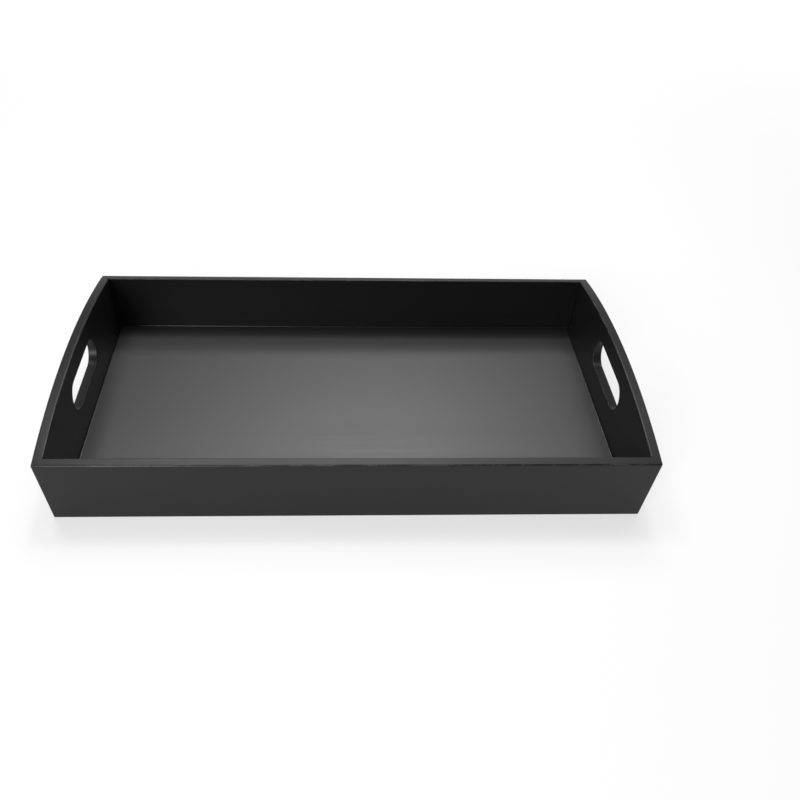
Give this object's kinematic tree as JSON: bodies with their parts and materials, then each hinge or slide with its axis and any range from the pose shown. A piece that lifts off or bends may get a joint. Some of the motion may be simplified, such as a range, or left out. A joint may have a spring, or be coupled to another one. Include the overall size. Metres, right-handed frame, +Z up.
{
  "type": "serving tray",
  "caption": "Rectangular bamboo serving tray with arched end boards, oval hand slots, straight side boards and an inset bottom, lacquered satin black.",
  "frame": {"origin": "middle of the tray's underside, level with the bottom edges of its boards", "axes": "+Z up, X along the tray's length from the left hand slot to the right one, Y from the front board to the back board"},
  "size_m": [0.6, 0.311, 0.0955],
  "materials": {
    "end_board_lacquer": "satin black lacquer on laminated bamboo",
    "side_board_lacquer": "satin black lacquer on laminated bamboo",
    "panel_lacquer": "satin black lacquer on bamboo ply",
    "dowel_bamboo": "plain, unfinished"
  },
  "bodies": {
    "root": {"left_end_board": "end_board_lacquer", "right_end_board": "end_board_lacquer", "front_side_board": "side_board_lacquer", "back_side_board": "side_board_lacquer", "bottom_panel": "panel_lacquer", "dowel_front_left_lower": "dowel_bamboo", "dowel_front_left_upper": "dowel_bamboo", "dowel_front_right_lower": "dowel_bamboo", "dowel_front_right_upper": "dowel_bamboo", "dowel_back_left_lower": "dowel_bamboo", "dowel_back_left_upper": "dowel_bamboo", "dowel_back_right_lower": "dowel_bamboo", "dowel_back_right_upper": "dowel_bamboo"}
  },
  "joints": []
}
